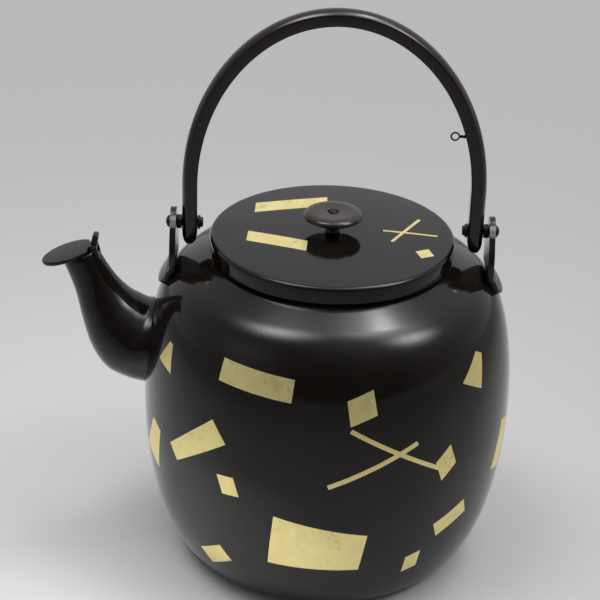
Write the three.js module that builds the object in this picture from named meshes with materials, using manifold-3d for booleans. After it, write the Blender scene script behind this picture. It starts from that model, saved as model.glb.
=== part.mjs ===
// Water kettle with a swinging bail handle, a lift-off lid and a hinged cap on its spout.
// Millimetres, +Z up, origin at the centre of the flat base.
// The ears, the handle and the spout share one vertical plane, y = 0. The spout points to -X.
import * as THREE from 'three';
import Module from 'manifold-3d';

const wasm = await Module();
wasm.setup();

// Body: a round shell, spun from one sheet
const BODY_R = 90; // largest radius
const BELLY_Z = 81.3; // height of the largest radius
const UNDER_BASE = 7.2; // the lower half would close this far below the base
const LOWER_REACH = BELLY_Z + UNDER_BASE;
const LOWER_BEND = 1.79;
const LOWER_SQUARE = 6.27;
const UPPER_REACH = 74.1; // the shoulder would close this far above the belly
const UPPER_BEND = 2.08;
const UPPER_SQUARE = 8.67;
const CROWN_R = 0.772 * BODY_R; // inside this radius the shoulder goes on to the neck almost straight
const CROWN_SLOPE = 0.5; // rise per millimetre inwards where that part begins
const CROWN_EASE = 0.25; // share of the slope that is lost on the way
const BASE_FLAT_R = 62; // flat that stands on the table
const WALL = 1.6;

// Collar around the mouth, soldered onto a flat land at the top of the shoulder
const NECK_R = 55.6;
const NECK_WALL = 1.4;
const COLLAR_FOOT = 0.9; // its foot is this much wider than the collar
const COLLAR_H = 1; // above the land
const NECK_FOOT_Z = shoulderZ(NECK_R + COLLAR_FOOT);
const NECK_TOP_Z = NECK_FOOT_Z + COLLAR_H;

// Lid: a shallow cap with a closed seat ring soldered under it
const LID_OVERHANG = 2.5; // beyond the collar
const LID_R = NECK_R + LID_OVERHANG;
const LID_DEPTH = 8.2; // height of its rim
const LID_SHEET = 1.3;
const LID_EDGE = 1.1; // rounded upper edge
const LID_REST_GAP = 0.3; // between the seat ring and the collar
const LID_TOP_Z = NECK_TOP_Z + LID_REST_GAP + LID_DEPTH; // its top, where it meets the rounded edge
const LID_CROWN = 1.35; // its middle stands this much higher
const SEAT_SHEET = 1.2;
const FLANGE_CLEARANCE = 0.8; // between the locating flange and the collar's bore
const FLANGE_DROP = 9;

// Knob: a dished button on a short stem, held by one rivet
const KNOB_SEAT_R = 5.2; // small flat in the middle of the lid
const KNOB_SEAT_Z = LID_TOP_Z + LID_CROWN;
const KNOB_R = 13.9;
const KNOB_RIM_Z = 7.8; // its widest ring above the lid
const KNOB_CREST_R = 9.7; // its shoulder is rounded up to here
const KNOB_CROWN = 2.4; // crest above the widest ring
const KNOB_BELOW = 0.7; // rounded lower edge
const KNOB_DISH = 0.5; // depth of the shallow bowl in its top
const STEM_R = 3.3;
const STEM_H = 5.4;
const STEM_FOOT_R = 3.7;
const RIVET_R = 1.1;
const RIVET_HEAD_R = 1.9;
const RIVET_WELL_R = 2.8;
const RIVET_WELL = 0.8; // depth of the recess around the head
const BACK_WASHER_R = 5;

// Handle: a half-round bar bent to an arch on straight legs
const PIN_ABOVE_LID = 3.7;
const PIN_Z = LID_TOP_Z + PIN_ABOVE_LID; // hinge line of the handle
const LEG_H = 19.1; // the legs are straight up to here above the pin
const ARCH_START_Z = PIN_Z + LEG_H;
const ARCH_RISE = 88;
const BAR_T = 7.4; // thickness, from the flat inside to the rounded outside
const BAR_W = 9.6; // width of the flat inside
const LEG_CLEARANCE = 5.8; // from the lid's rim to the legs
const HANDLE_R = LID_R + LEG_CLEARANCE + BAR_T; // outer half width at the legs
const LEG_DROP = 11; // rounded leg tip below the pin
const TIP_T = 4.4;
const TIP_W = 6.4;

// Ears: leaf-shaped plates with a bent foot on the shoulder
const EAR_T = 2.8;
const SPACER_T = 2.2; // washer between the leg and the ear
const SIDE_GAP = 0.15; // free play beside washers
const EAR_X = HANDLE_R + SPACER_T + 2 * SIDE_GAP + EAR_T / 2; // middle of the plate
const EAR_HEAD_R = 7;
const EAR_LEAF_W = 25; // widest part of the leaf
const EAR_LEAF_Z = PIN_Z - 13.9;
const EAR_FOOT_W = 22; // width where the plate turns into the foot
const FOOT_REACH = 5; // foot beyond the plate's middle
const FOOT_T = 3;
const SEAT_GAP = 0.2; // solder line under feet, spout and lugs

// Pivot pins
const PIN_R = 1.9;
const DOME_R = 3;
const DOME_H = 2.3;
const WASHER_R = 3.3;
const INNER_WASHER_T = 1.1;
const PEEN_R = 2.4;
const PEEN_H = 1.3;
const RUN_GAP = 0.06; // running clearance of a pin in its hole

// Cord eye on the handle's right leg
const EYE_Z = ARCH_START_Z + 28.5;
const EYE_R = 1.85; // to the middle of the wire
const EYE_WIRE_R = 0.45;
const EYE_TAIL_R = 0.75; // twisted tail
const EYE_NECK = 3.1; // from the ring's end to the leg

// Spout: stations along its middle line, from inside the wall to the mouth. Each has its distance
// beyond the body's largest radius, its height above the belly and its radius.
const SPOUT_STATIONS = [
  { out: -14, rise: 25.2, r: 21.8 },
  { out: -4, rise: 26.2, r: 21.6 },
  { out: 1.7, rise: 27.4, r: 21.4 },
  { out: 6.5, rise: 30, r: 20.9 },
  { out: 12.1, rise: 36, r: 18 },
  { out: 18, rise: 45.1, r: 13.75 },
  { out: 23.6, rise: 56.8, r: 10.3 },
  { out: 30.5, rise: 71.7, r: 8.7 },
].map(({ out, rise, r }) => ({ x: -BODY_R - out, z: BELLY_Z + rise, r }));
const MOUTH = SPOUT_STATIONS.at(-1);
const SPOUT_WALL = 1.3;
const MOUTH_TILT = 20; // degrees, the mouth's outer side is lower

// Cap of the spout: an oval plate, hinged at the inner side of the mouth
const CAP_LENGTH = 26.6;
const CAP_WIDTH = 21;
const CAP_T = 2;
const CAP_GAP = 0.3;
const CAP_CENTRE = { x: MOUTH.x - 5.1, z: MOUTH.z - 1.1 };
const HINGE = { x: MOUTH.x + 6.9, z: MOUTH.z + 3.3 };
const KNUCKLE_R = 1.8;
const KNUCKLE_W = 5;
const LUG_R = 2;
const LUG_T = 1.4;
const LUG_LEAN = 26; // degrees, the cheeks follow the spout down
const LUG_DROP = 7;
const CAP_PIN_R = 0.8;
const CAP_PIN_HEAD_R = 1.2;
const TAB_T = 2.9;
const TAB_H = 7; // above the hinge line
const TAB_LEAN = 12; // degrees towards the body
const TAB_ROOM = 0.35; // clearance around the tab in the gap filed for it between the lugs
const CAP_OPENS = 105; // degrees

const ROUND = 48; // facets around large turned pieces
const SMALL_ROUND = 20;
const SPOUT_ROUND = 26;
const deg = THREE.MathUtils.degToRad;

const lacquer = (name, colour, roughness, metalness = 0) =>
  new THREE.MeshStandardMaterial({ name, color: colour, roughness, metalness });
const blackLacquer = () => lacquer('black_lacquer', 0x0e0b0a, 0.16);
const brownLacquer = () => lacquer('brown_lacquer', 0x1a100d, 0.28);
const darkMetal = () => lacquer('dark_metal', 0x2a2422, 0.38, 0.9);

// Closed solid from a closed surface given as points and triangles
function solidFrom(points, triangles) {
  let volume = 0;
  const [a, b, c] = [new THREE.Vector3(), new THREE.Vector3(), new THREE.Vector3()];
  for (let i = 0; i < triangles.length; i += 3) {
    a.fromArray(points, triangles[i] * 3);
    b.fromArray(points, triangles[i + 1] * 3);
    c.fromArray(points, triangles[i + 2] * 3);
    volume += a.dot(b.cross(c));
  }
  if (volume < 0) triangles = [...triangles].reverse();
  return new wasm.Manifold(new wasm.Mesh({
    numProp: 3,
    vertProperties: new Float32Array(points),
    triVerts: new Uint32Array(triangles),
  }));
}

// Closed solid from a three.js geometry: shared corners are joined, flat triangles dropped
function solid(geometry) {
  const source = geometry.index ? geometry.toNonIndexed() : geometry;
  const place = source.attributes.position;
  const known = new Map();
  const points = [];
  const corners = [];
  for (let i = 0; i < place.count; i += 1) {
    const p = [place.getX(i), place.getY(i), place.getZ(i)];
    const key = p.map((v) => Math.round(v * 2000)).join(' ');
    if (!known.has(key)) {
      known.set(key, known.size);
      points.push(...p);
    }
    corners.push(known.get(key));
  }
  const triangles = [];
  for (let i = 0; i < corners.length; i += 3) {
    const [a, b, c] = corners.slice(i, i + 3);
    if (a !== b && b !== c && a !== c) triangles.push(a, b, c);
  }
  return solidFrom(points, triangles);
}

// Turned solid: profile points are (radius, height), the axis is Z
function turned(profile, facets = ROUND) {
  const lathe = new THREE.LatheGeometry(profile.map(([r, z]) => new THREE.Vector2(r, z)), facets);
  return solid(lathe.rotateX(Math.PI / 2));
}

// Plain rod between two heights on the Z axis
const rod = (r, z0, z1, facets = SMALL_ROUND) =>
  turned([[0, z0], [r, z0], [r, z1], [0, z1]], facets);

// Flat plate from an outline of (x, y) points, from z = 0 to the thickness
function plate(outline, thickness) {
  const shape = new THREE.Shape(outline.map(([x, y]) => new THREE.Vector2(x, y)));
  return solid(new THREE.ExtrudeGeometry(shape, { depth: thickness, bevelEnabled: false, steps: 1 }));
}

const box = (x0, x1, y0, y1, z0, z1) => solid(
  new THREE.BoxGeometry(x1 - x0, y1 - y0, z1 - z0)
    .translate((x0 + x1) / 2, (y0 + y1) / 2, (z0 + z1) / 2),
);

// Solid through rings of points, all with the same count, closed at both ends
function loft(rings) {
  const count = rings[0].length;
  const points = rings.flat().flatMap((p) => [p.x, p.y, p.z]);
  const triangles = [];
  for (let i = 0; i + 1 < rings.length; i += 1) {
    for (let j = 0; j < count; j += 1) {
      const k = (j + 1) % count;
      const [a, b, c, d] = [i * count + j, i * count + k, (i + 1) * count + k, (i + 1) * count + j];
      triangles.push(a, b, c, a, c, d);
    }
  }
  const addCap = (ring, first, flip) => {
    const middle = ring.reduce((sum, p) => sum.add(p), new THREE.Vector3()).divideScalar(count);
    const centre = points.length / 3;
    points.push(middle.x, middle.y, middle.z);
    for (let j = 0; j < count; j += 1) {
      const k = (j + 1) % count;
      triangles.push(centre, first + (flip ? k : j), first + (flip ? j : k));
    }
  };
  addCap(rings[0], 0, true);
  addCap(rings.at(-1), (rings.length - 1) * count, false);
  return solidFrom(points, triangles);
}

// Solids standing on Z are laid along X, pointing outward on side +1 or -1
const alongX = (body, side) => body.rotate([0, side * 90, 0]);
const alongY = (body) => body.rotate([90, 0, 0]);

function meshOf(name, body, material) {
  const { vertProperties, triVerts, numProp } = body.getMesh();
  const geometry = new THREE.BufferGeometry();
  const position = new Float32Array((vertProperties.length / numProp) * 3);
  for (let i = 0; i < position.length / 3; i += 1) {
    for (let k = 0; k < 3; k += 1) position[i * 3 + k] = vertProperties[i * numProp + k];
  }
  geometry.setAttribute('position', new THREE.BufferAttribute(position, 3));
  geometry.setIndex(new THREE.BufferAttribute(new Uint32Array(triVerts), 1));
  geometry.computeVertexNormals();
  const mesh = new THREE.Mesh(geometry, material);
  mesh.name = name;
  return mesh;
}

// Outside of the body: radius at a height, and height of the shoulder at a radius
function bodyRadius(z) {
  const [reach, bend, square] = z < BELLY_Z
    ? [LOWER_REACH, LOWER_BEND, LOWER_SQUARE] : [UPPER_REACH, UPPER_BEND, UPPER_SQUARE];
  return BODY_R * (1 - (Math.abs(z - BELLY_Z) / reach) ** bend) ** (1 / square);
}
function shoulderZ(r) {
  const outer = Math.max(r, CROWN_R);
  const run = outer - r;
  return BELLY_Z + UPPER_REACH * (1 - (outer / BODY_R) ** UPPER_SQUARE) ** (1 / UPPER_BEND)
    + CROWN_SLOPE * run * (1 - (CROWN_EASE * run) / CROWN_R);
}

// Profile of the body from its base to the collar, moved out along its normal by a distance:
// stations by height up to the bend of the shoulder, and by radius from there
const SHOULDER_BEND_R = 0.91 * BODY_R;
function bodyProfile(out) {
  const points = [[BASE_FLAT_R, 0]];
  for (const share of [0.012, 0.05, 0.11, 0.19, 0.29, 0.41, 0.55, 0.7, 0.85, 1]) {
    points.push([bodyRadius(BELLY_Z * share), BELLY_Z * share]);
  }
  const bendZ = shoulderZ(SHOULDER_BEND_R);
  for (const share of [0.2, 0.4, 0.6, 0.8, 1]) {
    const z = BELLY_Z + (bendZ - BELLY_Z) * share;
    points.push([bodyRadius(z), z]);
  }
  for (const share of [0.12, 0.27, 0.45, 0.7, 1]) {
    const r = SHOULDER_BEND_R + (NECK_R + COLLAR_FOOT - SHOULDER_BEND_R) * share;
    points.push([r, shoulderZ(r)]);
  }
  return points.map(([r, z], i) => {
    const [r0, z0] = points[Math.max(i - 1, 0)];
    const [r1, z1] = points[Math.min(i + 1, points.length - 1)];
    const length = Math.hypot(r1 - r0, z1 - z0);
    return [r + (out * (z1 - z0)) / length, z - (out * (r1 - r0)) / length];
  });
}

// Solid that fills the body's outside, grown by a distance
function bodyFilled(out) {
  const profile = bodyProfile(out);
  return turned([[0, -out], ...profile, [0, profile.at(-1)[1]]]);
}

// Half-round section of the handle, flat towards the inside of the arch
function barSection(centre, outward, width, thickness) {
  const ring = [];
  const steps = 10;
  for (let i = 0; i <= steps; i += 1) {
    const turn = Math.PI * (i / steps);
    const across = -Math.cos(turn) * (width / 2);
    const up = thickness * (0.14 + 0.86 * Math.sin(turn) ** 0.8);
    ring.push(centre.clone().addScaledVector(outward, up).add(new THREE.Vector3(0, across, 0)));
  }
  ring.push(centre.clone().add(new THREE.Vector3(0, width / 2 - 0.9, 0)));
  ring.push(centre.clone().add(new THREE.Vector3(0, -width / 2 + 0.9, 0)));
  return ring;
}

// Inner line of the handle: s runs from the left leg's tip over the arch to the right tip
function handleLine() {
  const inner = HANDLE_R - BAR_T;
  const line = [];
  const leg = (side) => {
    const tip = PIN_Z - LEG_DROP;
    const shares = [0, 0.05, 0.16, 0.34, 0.6, 1];
    return shares.map((share) => ({ x: side * inner, z: tip + (ARCH_START_Z - tip) * share, taper: share }));
  };
  line.push(...leg(-1));
  const steps = 26;
  for (let i = 1; i < steps; i += 1) {
    const turn = Math.PI * (i / steps);
    line.push({
      x: -inner * Math.cos(turn),
      z: ARCH_START_Z + (ARCH_RISE - BAR_T) * Math.sin(turn),
      taper: 1,
    });
  }
  line.push(...leg(1).reverse());
  return line;
}

function makeHandle() {
  const line = handleLine();
  const rings = line.map((here, i) => {
    const before = line[Math.max(i - 1, 0)];
    const after = line[Math.min(i + 1, line.length - 1)];
    const outward = new THREE.Vector3(-(after.z - before.z), 0, after.x - before.x).normalize();
    // the leg tips are slimmer and rounded, cut back mostly on their inner side
    const slim = Math.min(1, here.taper / 0.34);
    const full = Math.sqrt(1 - (1 - slim) ** 2);
    const end = here.taper === 0 ? 0.45 : 1;
    const thickness = (TIP_T + (BAR_T - TIP_T) * full) * end;
    const width = (TIP_W + (BAR_W - TIP_W) * full) * end;
    const cutBack = (BAR_T - thickness) * 0.62;
    const centre = new THREE.Vector3(here.x, 0, here.z).addScaledVector(outward, cutBack);
    return barSection(centre, outward, width, thickness);
  });
  let body = loft(rings);
  for (const side of [-1, 1]) {
    const hole = alongX(rod(PIN_R + RUN_GAP, 40, 100), side).translate([0, 0, PIN_Z]);
    body = body.subtract(hole);
  }
  // the tail of the cord eye sits in a small blind hole
  const innerX = eyePlace().legX;
  const socket = alongX(rod(EYE_TAIL_R + 0.08, innerX - 3, innerX + 1.6, 12), 1).translate([0, 0, EYE_Z]);
  return body.subtract(socket);
}

// Where the cord eye stands on the handle's right leg
function eyePlace() {
  const lift = (EYE_Z - ARCH_START_Z) / (ARCH_RISE - BAR_T);
  const legX = (HANDLE_R - BAR_T) * Math.sqrt(1 - lift * lift);
  return { legX, ringX: legX - EYE_R - EYE_NECK };
}

// Ring of wire, its two ends twisted into one thicker tail
function makeEye() {
  const { legX, ringX } = eyePlace();
  const ring = solid(new THREE.TorusGeometry(EYE_R, EYE_WIRE_R, 8, 20).rotateX(Math.PI / 2))
    .translate([ringX, 0, EYE_Z]);
  const tail = turned([[0, ringX + EYE_R - 0.2], [EYE_WIRE_R, ringX + EYE_R - 0.2],
    [EYE_TAIL_R, ringX + EYE_R + 1.2], [EYE_TAIL_R, legX + 1.4], [0, legX + 1.4]], 12);
  return ring.add(alongX(tail, 1).translate([0, 0, EYE_Z]));
}

// Leaf outline of an ear in its own plane: first axis across, second axis up
function earOutline() {
  const half = EAR_LEAF_W / 2;
  const footZ = shoulderZ(EAR_X);
  const low = footZ - 12;
  const side = [];
  const steps = 8;
  for (let i = 0; i <= steps; i += 1) {
    const z = low + ((PIN_Z - low) * i) / steps;
    if (z < EAR_LEAF_Z) {
      const share = Math.min(1, (EAR_LEAF_Z - z) / (EAR_LEAF_Z - footZ));
      side.push([half - (half - EAR_FOOT_W / 2) * share ** 2, z]);
    } else {
      const share = (z - EAR_LEAF_Z) / (PIN_Z - EAR_LEAF_Z);
      side.push([EAR_HEAD_R + (half - EAR_HEAD_R) * Math.cos(share * (Math.PI / 2)), z]);
    }
  }
  const head = [];
  for (let i = 1; i < 10; i += 1) {
    const turn = Math.PI * (i / 10);
    head.push([EAR_HEAD_R * Math.cos(turn), PIN_Z + EAR_HEAD_R * Math.sin(turn)]);
  }
  return [...side, ...head, ...side.map(([w, z]) => [-w, z]).reverse()];
}

function makeEar(side) {
  const leaf = plate(earOutline(), EAR_T)
    .rotate([90, 0, 0]).rotate([0, 0, 90])
    .translate([side * EAR_X - EAR_T / 2, 0, 0]);
  const oval = [];
  for (let i = 0; i < 28; i += 1) {
    const turn = (2 * Math.PI * i) / 28;
    const x = Math.cos(turn) > 0 ? FOOT_REACH * Math.cos(turn) : (EAR_T / 2) * Math.cos(turn);
    oval.push([side * (EAR_X + x), side * (EAR_FOOT_W / 2) * Math.sin(turn)]);
  }
  const foot = plate(oval, 60).translate([0, 0, 110]).intersect(bodyFilled(SEAT_GAP + FOOT_T));
  const hole = alongX(rod(PIN_R + RUN_GAP, EAR_X - 5, EAR_X + 5), side).translate([0, 0, PIN_Z]);
  return leaf.add(foot).subtract(bodyFilled(SEAT_GAP)).subtract(hole);
}

// Stack on each pivot, measured outward from the handle's leg along X
function pivotStack() {
  const legOut = HANDLE_R;
  const legIn = HANDLE_R - BAR_T;
  const earIn = EAR_X - EAR_T / 2;
  const earOut = EAR_X + EAR_T / 2;
  return {
    spacer: [legOut + SIDE_GAP, earIn - SIDE_GAP],
    inner: [legIn - SIDE_GAP - INNER_WASHER_T, legIn - SIDE_GAP],
    pin: [legIn - SIDE_GAP - INNER_WASHER_T - 0.05, earOut + 0.05],
  };
}

function makeWasher([x0, x1], side) {
  const ring = turned([
    [PIN_R + RUN_GAP, x0], [WASHER_R, x0], [WASHER_R, x1], [PIN_R + RUN_GAP, x1], [PIN_R + RUN_GAP, x0],
  ], SMALL_ROUND);
  return alongX(ring, side).translate([0, 0, PIN_Z]);
}

// Pin with a domed head outside and a spread end inside
function makePin(side) {
  const [x0, x1] = pivotStack().pin;
  const profile = [[0, x0 - PEEN_H], [PEEN_R * 0.55, x0 - PEEN_H], [PEEN_R, x0 - PEEN_H * 0.45], [PEEN_R, x0],
    [PIN_R, x0], [PIN_R, x1], [DOME_R, x1]];
  for (let i = 1; i < 6; i += 1) {
    const turn = (Math.PI / 2) * (i / 6);
    profile.push([DOME_R * Math.cos(turn), x1 + DOME_H * Math.sin(turn)]);
  }
  profile.push([0, x1 + DOME_H]);
  return alongX(turned(profile, SMALL_ROUND), side).translate([0, 0, PIN_Z]);
}

// Rings across the spout, each a circle square to the middle line
function spoutRings(shrink, from, to, steps) {
  const line = new THREE.CatmullRomCurve3(
    SPOUT_STATIONS.map(({ x, z }) => new THREE.Vector3(x, 0, z)), false, 'catmullrom', 0.5,
  );
  const sizes = new THREE.CatmullRomCurve3(
    SPOUT_STATIONS.map(({ r }, i) => new THREE.Vector3(i, r, 0)), false, 'catmullrom', 0.5,
  );
  const rings = [];
  for (let i = 0; i <= steps; i += 1) {
    const share = from + (to - from) * (i / steps);
    const inside = THREE.MathUtils.clamp(share, 0, 1);
    const along = line.getTangent(inside);
    const centre = line.getPoint(inside).addScaledVector(along, (share - inside) * 80);
    const r = sizes.getPoint(inside).y - shrink;
    const up = new THREE.Vector3(0, 1, 0).cross(along).normalize();
    const ring = [];
    for (let j = 0; j < SPOUT_ROUND; j += 1) {
      const turn = (2 * Math.PI * j) / SPOUT_ROUND;
      ring.push(centre.clone().addScaledVector(up, r * Math.sin(turn))
        .add(new THREE.Vector3(0, r * Math.cos(turn), 0)));
    }
    rings.push(ring);
  }
  return rings;
}

// From the mouth's own frame, where z is square to its plane, into the world
const ontoMouth = (body) => body.rotate([0, -MOUTH_TILT, 0]).translate([MOUTH.x, 0, MOUTH.z]);

function makeSpout() {
  const outer = loft(spoutRings(0, 0, 1.06, 17));
  const beyondMouth = ontoMouth(box(-60, 60, -40, 40, 0, 60));
  const bore = loft(spoutRings(SPOUT_WALL, -0.05, 1.15, 13));
  const root = [[LUG_R, 0], [-LUG_R, 0], [-LUG_R, -LUG_DROP], [LUG_R * 0.3, -LUG_DROP]];
  const cheek = (y) => alongY(rod(LUG_R, -y - LUG_T / 2, -y + LUG_T / 2)
    .add(plate(root, LUG_T).translate([0, 0, -y - LUG_T / 2])))
    .rotate([0, -LUG_LEAN, 0])
    .translate([HINGE.x, 0, HINGE.z]);
  const lugY = KNUCKLE_W / 2 + SIDE_GAP + LUG_T / 2;
  const lugOut = lugY + LUG_T / 2;
  const pinHole = rod(CAP_PIN_R, -lugOut, lugOut, 16);
  const knuckleRoom = rod(KNUCKLE_R + 0.35, -lugY + LUG_T / 2, lugY - LUG_T / 2);
  const headRoom = rod(CAP_PIN_HEAD_R + 0.2, lugOut, lugOut + 6)
    .add(rod(CAP_PIN_HEAD_R + 0.2, -lugOut - 6, -lugOut));
  const tabRoom = (opened) => box(-TAB_T / 2 - TAB_ROOM, TAB_T / 2 + TAB_ROOM,
    LUG_T / 2 - lugY, lugY - LUG_T / 2, 0, TAB_H + TAB_ROOM)
    .rotate([0, TAB_LEAN + opened, 0]).translate([HINGE.x, 0, HINGE.z]);
  const swept = [0.4, 0.55, 0.7, 0.85, 1].map((share) => tabRoom(CAP_OPENS * share))
    .reduce((all, one) => all.add(one));
  const hingeRoom = alongY(knuckleRoom.add(pinHole).add(headRoom)).translate([HINGE.x, 0, HINGE.z]);
  return outer.subtract(beyondMouth).add(cheek(lugY)).add(cheek(-lugY))
    .subtract(hingeRoom).subtract(swept).subtract(bore).subtract(bodyFilled(SEAT_GAP));
}

// From a point in the world to the mouth's own frame: x in its plane towards the body, z square to it
const mouthFrame = ({ x, z }) => {
  const [c, s] = [Math.cos(deg(MOUTH_TILT)), Math.sin(deg(MOUTH_TILT))];
  return { x: (x - MOUTH.x) * c + (z - MOUTH.z) * s, z: (z - MOUTH.z) * c - (x - MOUTH.x) * s };
};

// Cap plate with its knuckle and the upright stop tab, made in the mouth's frame
function makeCap() {
  const middle = mouthFrame(CAP_CENTRE).x;
  const hinge = mouthFrame(HINGE);
  const rim = 0.6; // softened edge of the plate
  const ringAt = (inset, z) => Array.from({ length: 36 }, (_, i) => {
    const turn = (2 * Math.PI * i) / 36;
    return new THREE.Vector3(middle + (CAP_LENGTH / 2 - inset) * Math.cos(turn),
      (CAP_WIDTH / 2 - inset) * Math.sin(turn), CAP_GAP + z);
  });
  const leaf = loft([ringAt(rim, 0), ringAt(0, rim), ringAt(0, CAP_T - rim), ringAt(rim, CAP_T)]);
  const lugRoom = [-1, 1].map((side) => alongY(side > 0
    ? rod(LUG_R + 0.5, KNUCKLE_W / 2, 20) : rod(LUG_R + 0.5, -20, -KNUCKLE_W / 2))
    .translate([hinge.x, 0, hinge.z]));
  const knuckle = alongY(rod(KNUCKLE_R, -KNUCKLE_W / 2, KNUCKLE_W / 2)).translate([hinge.x, 0, hinge.z]);
  const tab = box(-TAB_T / 2, TAB_T / 2, -KNUCKLE_W / 2, KNUCKLE_W / 2, 0, TAB_H - TAB_T / 2)
    .add(alongY(rod(TAB_T / 2, -KNUCKLE_W / 2, KNUCKLE_W / 2, 16)).translate([0, 0, TAB_H - TAB_T / 2]))
    .rotate([0, TAB_LEAN + MOUTH_TILT, 0])
    .translate([hinge.x, 0, hinge.z]);
  const pinHole = alongY(rod(CAP_PIN_R + RUN_GAP, -9, 9, 16)).translate([hinge.x, 0, hinge.z]);
  return ontoMouth(leaf.subtract(lugRoom[0]).subtract(lugRoom[1]).add(tab).add(knuckle).subtract(pinHole));
}

function makeCapPin() {
  const half = KNUCKLE_W / 2 + SIDE_GAP + LUG_T;
  const head = 0.5;
  return alongY(turned([[0, -half - head], [CAP_PIN_HEAD_R - 0.3, -half - head], [CAP_PIN_HEAD_R, -half - 0.1],
    [CAP_PIN_HEAD_R, -half], [CAP_PIN_R, -half], [CAP_PIN_R, half], [CAP_PIN_HEAD_R, half],
    [CAP_PIN_HEAD_R, half + 0.1], [CAP_PIN_HEAD_R - 0.3, half + head], [0, half + head]], 16))
    .translate([HINGE.x, 0, HINGE.z]);
}

const neckBore = NECK_R - NECK_WALL;

function makeBody() {
  const outside = bodyProfile(0);
  const inside = bodyProfile(-WALL).filter(([r, z], i) => r > neckBore && (i < 2 || i % 2 === 0 || z > BELLY_Z));
  const shell = turned([
    [0, 0], ...outside,
    [neckBore, NECK_FOOT_Z], [neckBore, NECK_FOOT_Z - WALL],
    ...inside.slice(0, -1).reverse(),
    [0, WALL],
  ]);
  const passage = loft(spoutRings(SPOUT_WALL + 1.5, 0, 0.3, 6));
  return shell.subtract(passage);
}

function makeCollar() {
  return turned([
    [neckBore, NECK_FOOT_Z], [NECK_R + COLLAR_FOOT, NECK_FOOT_Z], [NECK_R, NECK_FOOT_Z + COLLAR_FOOT],
    [NECK_R, NECK_TOP_Z - 0.4], [NECK_R - 0.4, NECK_TOP_Z], [neckBore + 0.4, NECK_TOP_Z],
    [neckBore, NECK_TOP_Z - 0.4], [neckBore, NECK_FOOT_Z],
  ]);
}

function makeLidCap() {
  const low = LID_TOP_Z - LID_DEPTH;
  const inner = LID_R - LID_SHEET;
  const halfway = 0.6; // share of the radius with one more station of the crown
  const profile = [[0, KNOB_SEAT_Z], [KNOB_SEAT_R, KNOB_SEAT_Z],
    [halfway * LID_R, LID_TOP_Z + LID_CROWN * (1 - halfway ** 2)],
    [LID_R - LID_EDGE, LID_TOP_Z], [LID_R - 0.3, LID_TOP_Z - 0.35], [LID_R, LID_TOP_Z - LID_EDGE],
    [LID_R, low + 0.3], [LID_R - 0.3, low], [inner, low], [inner, LID_TOP_Z - LID_SHEET],
    [KNOB_SEAT_R, KNOB_SEAT_Z - LID_SHEET], [0, KNOB_SEAT_Z - LID_SHEET]];
  const hole = rod(RIVET_R + 0.05, LID_TOP_Z - 5, KNOB_SEAT_Z + 5, 16);
  return turned(profile).subtract(hole);
}

// Ring that closes the rim from below and carries the flange that centres the lid
function makeSeatRing() {
  const low = LID_TOP_Z - LID_DEPTH;
  const outer = LID_R - LID_SHEET - 0.05;
  const flange = NECK_R - NECK_WALL - FLANGE_CLEARANCE;
  return turned([
    [outer, low], [outer, low + SEAT_SHEET], [flange - SEAT_SHEET, low + SEAT_SHEET],
    [flange - SEAT_SHEET - 0.6, low - FLANGE_DROP], [flange - 0.6, low - FLANGE_DROP],
    [flange, low - FLANGE_DROP + 2], [flange, low], [outer, low],
  ]);
}

// Height of the shallow bowl in the knob's top at a radius
const dishZ = (r) => KNOB_SEAT_Z + KNOB_RIM_Z + KNOB_CROWN - KNOB_DISH * (1 - (r / KNOB_CREST_R) ** 2);

function makeKnob() {
  const rimZ = KNOB_SEAT_Z + KNOB_RIM_Z;
  const under = KNOB_SEAT_Z + STEM_H;
  const lowR = KNOB_R - KNOB_BELOW;
  const bore = RIVET_R + 0.05;
  const profile = [[bore, under], [STEM_R + 0.3, under], [STEM_R + 1.2, under + 0.5]];
  for (let i = 0; i < 3; i += 1) {
    const turn = (Math.PI / 2) * (1 - i / 3);
    profile.push([lowR + (KNOB_R - lowR) * Math.cos(turn), rimZ - KNOB_BELOW * Math.sin(turn)]);
  }
  for (let i = 0; i <= 5; i += 1) {
    const turn = (Math.PI / 2) * (i / 5);
    profile.push([KNOB_CREST_R + (KNOB_R - KNOB_CREST_R) * Math.cos(turn), rimZ + KNOB_CROWN * Math.sin(turn)]);
  }
  const wellZ = dishZ(RIVET_WELL_R);
  profile.push([0.6 * KNOB_CREST_R, dishZ(0.6 * KNOB_CREST_R)], [RIVET_WELL_R + 0.2, wellZ],
    [RIVET_WELL_R, wellZ - RIVET_WELL], [bore, wellZ - RIVET_WELL], [bore, under]);
  return turned(profile, 32);
}

function makeStem() {
  return turned([
    [RIVET_R + 0.05, KNOB_SEAT_Z], [STEM_FOOT_R, KNOB_SEAT_Z], [STEM_FOOT_R, KNOB_SEAT_Z + 0.7],
    [STEM_R, KNOB_SEAT_Z + 1.3], [STEM_R, KNOB_SEAT_Z + STEM_H], [RIVET_R + 0.05, KNOB_SEAT_Z + STEM_H],
    [RIVET_R + 0.05, KNOB_SEAT_Z],
  ], SMALL_ROUND);
}

function makeKnobRivet() {
  const headZ = dishZ(RIVET_WELL_R) - RIVET_WELL;
  const low = KNOB_SEAT_Z - LID_SHEET - 0.9;
  return turned([
    [0, low - 0.8], [RIVET_R + 0.5, low - 0.8], [RIVET_R + 0.8, low - 0.3], [RIVET_R + 0.8, low], [RIVET_R, low],
    [RIVET_R, headZ], [RIVET_HEAD_R, headZ], [RIVET_HEAD_R, headZ + 0.4], [RIVET_HEAD_R * 0.75, headZ + 1.1],
    [RIVET_HEAD_R * 0.35, headZ + 1.45], [0, headZ + 1.5],
  ], SMALL_ROUND);
}

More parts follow.
